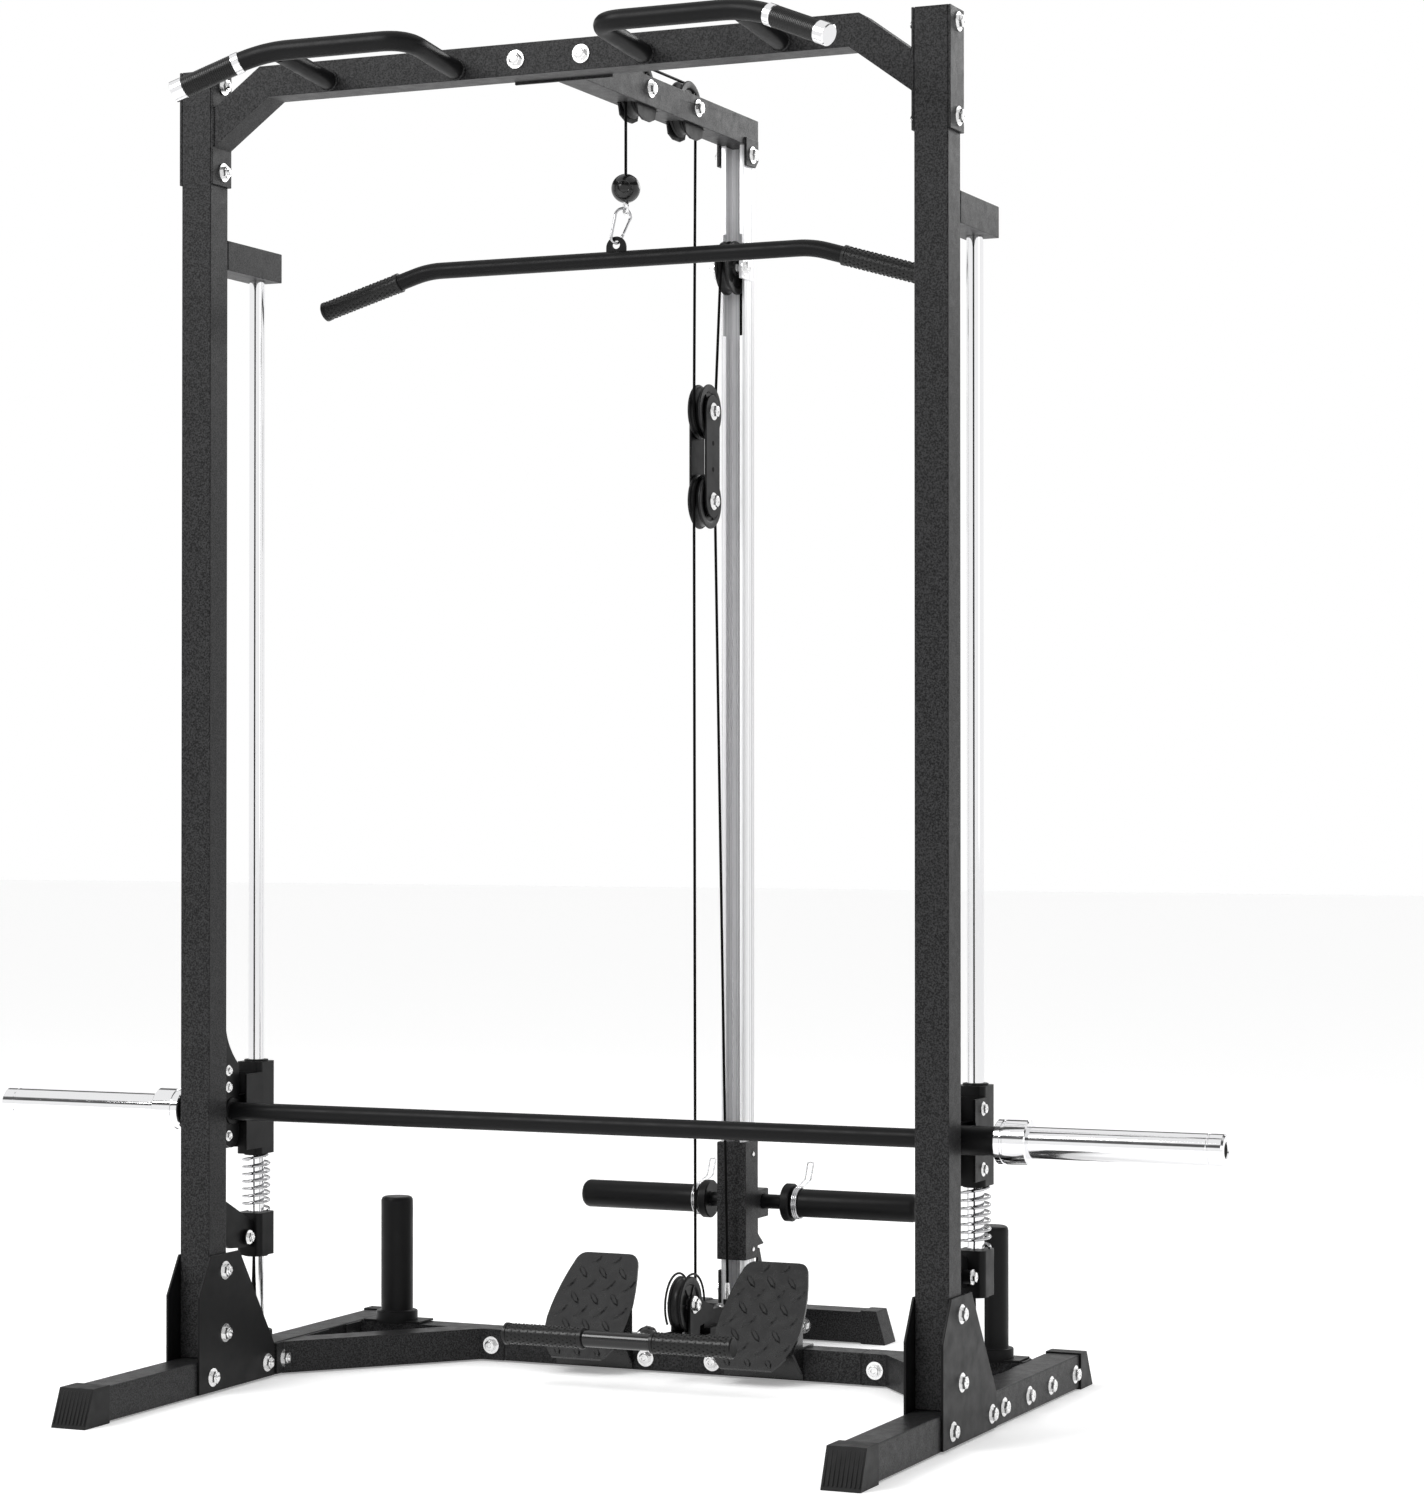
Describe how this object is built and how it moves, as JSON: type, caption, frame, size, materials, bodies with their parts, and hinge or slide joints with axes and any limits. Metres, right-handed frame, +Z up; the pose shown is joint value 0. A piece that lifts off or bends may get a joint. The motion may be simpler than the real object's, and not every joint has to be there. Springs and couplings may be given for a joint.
{
  "type": "power cage",
  "caption": "Two-upright power cage with a Smith bar on guide rods, pull-up handles, and a plate-loaded lat and low-row cable column on a mast behind it.",
  "frame": {"origin": "on the floor under the middle of the object's box", "axes": "+Z up; +X to the right seen from the front; +Y to the back, where the cable mast stands"},
  "size_m": [2.186, 1.402, 2.241],
  "materials": {
    "powder_coat": "fine textured black powder coat",
    "satin_plate": "smooth satin black paint",
    "foot_plastic": "matte moulded black",
    "chrome": "polished chrome plate",
    "mast_aluminium": "extruded, satin anodised",
    "pulley_nylon": "moulded black nylon",
    "cable_sheath": "smooth black sheath over a steel core",
    "stop_rubber": "moulded black rubber"
  },
  "bodies": {
    "frame": {"left_upright": "powder_coat", "right_upright": "powder_coat", "left_foot": "powder_coat", "right_foot": "powder_coat", "left_foot_front_cap": "foot_plastic", "right_foot_front_cap": "foot_plastic", "left_foot_rear_cap": "foot_plastic", "right_foot_rear_cap": "foot_plastic", "left_outer_gusset": "satin_plate", "left_inner_gusset": "satin_plate", "right_outer_gusset": "satin_plate", "right_inner_gusset": "satin_plate", "crossbeam": "powder_coat", "left_pullup_handle": "satin_plate", "right_pullup_handle": "satin_plate", "left_base_brace": "powder_coat", "right_base_brace": "powder_coat", "base_crossbar": "powder_coat", "base_spine": "powder_coat", "rear_foot": "powder_coat", "left_storage_post": "satin_plate", "right_storage_post": "satin_plate", "left_footplate": "powder_coat", "right_footplate": "powder_coat", "left_guide_rod": "chrome", "right_guide_rod": "chrome", "left_rod_arm": "powder_coat", "right_rod_arm": "powder_coat", "lat_arm": "satin_plate", "mast": "mast_aluminium", "low_pulley_bracket": "satin_plate", "lat_cable": "cable_sheath", "row_cable": "cable_sheath"},
    "sliders": {"left_slider": "satin_plate", "right_slider": "satin_plate"},
    "bar": {"smith_bar": "satin_plate", "left_sleeve": "chrome", "right_sleeve": "chrome"},
    "left_stop": {"left_safety_stop": "satin_plate", "left_spring": "chrome"},
    "right_stop": {"right_safety_stop": "satin_plate", "right_spring": "chrome"},
    "weight": {"weight_carriage": "satin_plate", "weight_horn": "satin_plate"},
    "left_clip": {"left_horn_clip": "chrome"},
    "right_clip": {"right_horn_clip": "chrome"},
    "lat_end": {"lat_ball_stop": "stop_rubber", "lat_carabiner": "chrome"},
    "lat_gate": {"lat_carabiner_gate": "chrome"},
    "lat_handle": {"lat_bar": "satin_plate"},
    "arm_front_wheel": {"arm_front_pulley": "pulley_nylon"},
    "arm_rear_wheel": {"arm_rear_pulley": "pulley_nylon"},
    "mast_wheel": {"mast_pulley": "pulley_nylon"},
    "float": {"floating_frame": "satin_plate"},
    "float_upper_wheel": {"float_upper_pulley": "pulley_nylon"},
    "float_lower_wheel": {"float_lower_pulley": "pulley_nylon"},
    "low_wheel": {"low_pulley": "pulley_nylon"},
    "row_end": {"row_ball_stop": "stop_rubber", "row_carabiner": "chrome"},
    "row_handle": {"row_bar": "satin_plate"}
  },
  "joints": [
    {"name": "bar_lift", "type": "slide", "parent": "frame", "child": "sliders", "axis": [0, 0, 1], "range_m": [0, 1.24]},
    {"name": "bar_twist", "type": "hinge", "parent": "sliders", "child": "bar", "pos_m": [0, -0.2243, 0.465], "axis": [-1, 0, 0], "range_deg": [0, 28]},
    {"name": "left_stop_slide", "type": "slide", "parent": "frame", "child": "left_stop", "axis": [0, 0, -1], "range_m": [0, 0.11]},
    {"name": "right_stop_slide", "type": "slide", "parent": "frame", "child": "right_stop", "axis": [0, 0, -1], "range_m": [0, 0.11]},
    {"name": "weight_lift", "type": "slide", "parent": "frame", "child": "weight", "axis": [0, 0, 1], "range_m": [0, 1.2], "deforming": ["lat_cable"]},
    {"name": "left_clip_slide", "type": "slide", "parent": "weight", "child": "left_clip", "axis": [-1, 0, 0], "range_m": [0, 0.2]},
    {"name": "right_clip_slide", "type": "slide", "parent": "weight", "child": "right_clip", "axis": [1, 0, 0], "range_m": [0, 0.2]},
    {"name": "lat_pull", "type": "slide", "parent": "frame", "child": "lat_end", "axis": [0, 0, -1], "range_m": [0, 1.2]},
    {"name": "lat_gate_swing", "type": "hinge", "parent": "lat_end", "child": "lat_gate", "pos_m": [-0.00318, -0.02868, 1.9414], "axis": [0.7071, -0.7071, 0], "range_deg": [0, 24], "stiffness_Nm_per_rad": 0.05, "springref_deg": -11.46},
    {"name": "lat_bar_swivel", "type": "hinge", "parent": "lat_end", "child": "lat_handle", "pos_m": [-0.01181, -0.03731, 1.926], "axis": [0, 0, 1], "range_deg": [-60, 0]},
    {"name": "arm_front_spin", "type": "hinge", "parent": "frame", "child": "arm_front_wheel", "pos_m": [0, 0.02, 2.193], "axis": [1, 0, 0], "continuous": true},
    {"name": "arm_rear_spin", "type": "hinge", "parent": "frame", "child": "arm_rear_wheel", "pos_m": [0, 0.217, 2.193], "axis": [1, 0, 0], "continuous": true},
    {"name": "mast_spin", "type": "hinge", "parent": "frame", "child": "mast_wheel", "pos_m": [0, 0.419, 1.942], "axis": [1, 0, 0], "continuous": true},
    {"name": "float_drop", "type": "slide", "parent": "frame", "child": "float", "axis": [0, 0, -1], "range_m": [0, 0.35], "deforming": ["row_cable"]},
    {"name": "float_upper_spin", "type": "hinge", "parent": "float", "child": "float_upper_wheel", "pos_m": [0, 0.302, 1.674], "axis": [1, 0, 0], "continuous": true},
    {"name": "float_lower_spin", "type": "hinge", "parent": "float", "child": "float_lower_wheel", "pos_m": [0, 0.302, 1.516], "axis": [1, 0, 0], "continuous": true},
    {"name": "low_spin", "type": "hinge", "parent": "frame", "child": "low_wheel", "pos_m": [0, 0.217, 0.118], "axis": [1, 0, 0], "continuous": true},
    {"name": "row_pull", "type": "slide", "parent": "frame", "child": "row_end", "axis": [0, -1, 0], "range_m": [0, 0.7]},
    {"name": "row_bar_swivel", "type": "hinge", "parent": "row_end", "child": "row_handle", "pos_m": [0, -0.0305, 0.0891], "axis": [0, 0.0993, 0.9951], "range_deg": [-18, 18]}
  ],
  "couplings": [
    {"joint": "lat_pull", "follows": "weight_lift", "ratio": 1},
    {"joint": "arm_front_spin", "follows": "weight_lift", "rad_per_m": 21.978},
    {"joint": "arm_rear_spin", "follows": "weight_lift", "rad_per_m": 21.978},
    {"joint": "mast_spin", "follows": "weight_lift", "rad_per_m": 21.978},
    {"joint": "float_upper_spin", "follows": "weight_lift", "rad_per_m": -21.978},
    {"joint": "row_pull", "follows": "float_drop", "ratio": 2},
    {"joint": "low_spin", "follows": "float_drop", "rad_per_m": -43.956},
    {"joint": "float_lower_spin", "follows": "float_drop", "rad_per_m": 21.978}
  ]
}
